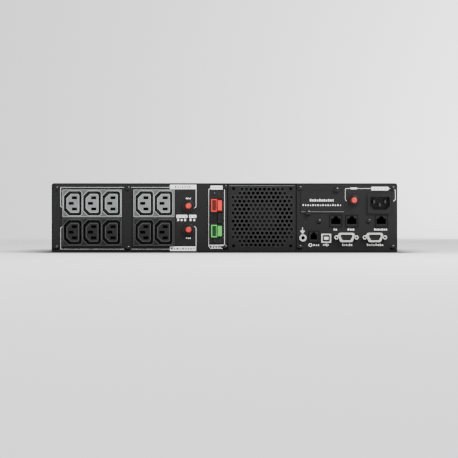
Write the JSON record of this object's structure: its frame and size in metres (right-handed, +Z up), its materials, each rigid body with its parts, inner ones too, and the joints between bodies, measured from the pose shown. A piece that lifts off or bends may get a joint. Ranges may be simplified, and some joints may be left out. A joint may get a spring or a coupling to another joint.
{
  "type": "rackmount ups",
  "caption": "Rack-height backup power supply: rear panel with mains outlets, fan, power inlet and signal ports; front bezel with display keys and a battery drawer.",
  "frame": {"origin": "middle of the whole unit's footprint, on the underside of the case", "axes": "+Z up; the rear panel with the outlets faces -Y and the front bezel faces +Y; +X is to the right as the rear panel is seen"},
  "size_m": [0.433, 0.458, 0.087],
  "materials": {
    "powder_coat": "fine-textured black powder coat",
    "steel": "zinc-plated",
    "nickel": "nickel-plated",
    "grey_plastic": "satin",
    "black_plastic": "satin",
    "red_plastic": "satin",
    "green_plastic": "satin",
    "bezel_plastic": "fine-textured",
    "board": "solder mask",
    "aluminium": "extruded",
    "core_iron": "varnished laminations",
    "coil_tape": "polyester tape over copper",
    "battery_case": "moulded",
    "display_glass": "polished"
  },
  "bodies": {
    "case": {"chassis_base": "powder_coat", "top_cover": "powder_coat", "outlet_panel": "powder_coat", "io_panel": "powder_coat", "fan_grille": "powder_coat", "expansion_cover": "powder_coat", "centre_divider": "steel", "expansion_screw_left": "steel", "expansion_screw_right": "steel", "outlet_frame_grey_2": "grey_plastic", "outlet_frame_grey_3": "grey_plastic", "outlet_core_grey_2": "grey_plastic", "outlet_core_grey_3": "grey_plastic", "outlet_frame_black_2": "black_plastic", "outlet_frame_black_3": "black_plastic", "outlet_core_black_2": "black_plastic", "outlet_core_black_3": "black_plastic", "breaker_body_upper": "black_plastic", "breaker_body_lower": "black_plastic", "breaker_body_input": "black_plastic", "battery_port_plate": "black_plastic", "battery_pole_black": "black_plastic", "fan_frame": "black_plastic", "power_inlet": "black_plastic", "network_jack_in": "black_plastic", "network_jack_out": "black_plastic", "sensor_jack": "black_plastic", "shutdown_jack": "black_plastic", "serial_port_insert": "black_plastic", "relay_port_insert": "black_plastic", "bulk_capacitor": "black_plastic", "battery_pole_red": "red_plastic", "battery_pole_green": "green_plastic", "inlet_pin_line": "nickel", "inlet_pin_neutral": "nickel", "inlet_pin_earth": "nickel", "usb_port": "nickel", "serial_port_shell": "nickel", "relay_port_shell": "nickel", "ground_stud": "nickel", "main_board": "board", "interface_board": "board", "heat_sink": "aluminium", "transformer_core": "core_iron", "transformer_coil": "coil_tape", "front_bezel": "bezel_plastic", "display_window": "display_glass"},
    "fan_wheel": {"fan_rotor": "black_plastic"},
    "upper_reset": {"reset_button_upper": "red_plastic"},
    "lower_reset": {"reset_button_lower": "red_plastic"},
    "input_reset": {"reset_button_input": "red_plastic"},
    "power_key": {"power_button": "bezel_plastic"},
    "scroll_key": {"scroll_button": "bezel_plastic"},
    "select_key": {"select_button": "bezel_plastic"},
    "battery_drawer": {"battery_tray": "steel", "battery_1": "battery_case", "battery_2": "battery_case", "battery_3": "battery_case", "battery_4": "battery_case"},
    "drawer_cover": {"battery_cover": "bezel_plastic"}
  },
  "joints": [
    {"name": "fan_spin", "type": "hinge", "parent": "case", "child": "fan_wheel", "pos_m": [0.0473, -0.206, 0.0444], "axis": [0, 1, 0], "continuous": true},
    {"name": "upper_reset_travel", "type": "slide", "parent": "case", "child": "upper_reset", "axis": [0, -1, 0], "range_m": [0, 0.0035]},
    {"name": "lower_reset_travel", "type": "slide", "parent": "case", "child": "lower_reset", "axis": [0, -1, 0], "range_m": [0, 0.0035]},
    {"name": "input_reset_travel", "type": "slide", "parent": "case", "child": "input_reset", "axis": [0, -1, 0], "range_m": [0, 0.0035]},
    {"name": "power_key_press", "type": "slide", "parent": "case", "child": "power_key", "axis": [0, -1, 0], "range_m": [0, 0.0015], "stiffness_N_per_m": 400},
    {"name": "scroll_key_press", "type": "slide", "parent": "case", "child": "scroll_key", "axis": [0, -1, 0], "range_m": [0, 0.001], "stiffness_N_per_m": 400},
    {"name": "select_key_press", "type": "slide", "parent": "case", "child": "select_key", "axis": [0, -1, 0], "range_m": [0, 0.001], "stiffness_N_per_m": 400},
    {"name": "battery_drawer_slide", "type": "slide", "parent": "case", "child": "battery_drawer", "axis": [0, 1, 0], "range_m": [0, 0.2]},
    {"name": "drawer_cover_pull", "type": "slide", "parent": "case", "child": "drawer_cover", "axis": [0, 1, 0], "range_m": [0, 0.25]}
  ],
  "couplings": [
    {"joint": "drawer_cover_pull", "follows": "battery_drawer_slide", "ratio": 1.25}
  ]
}
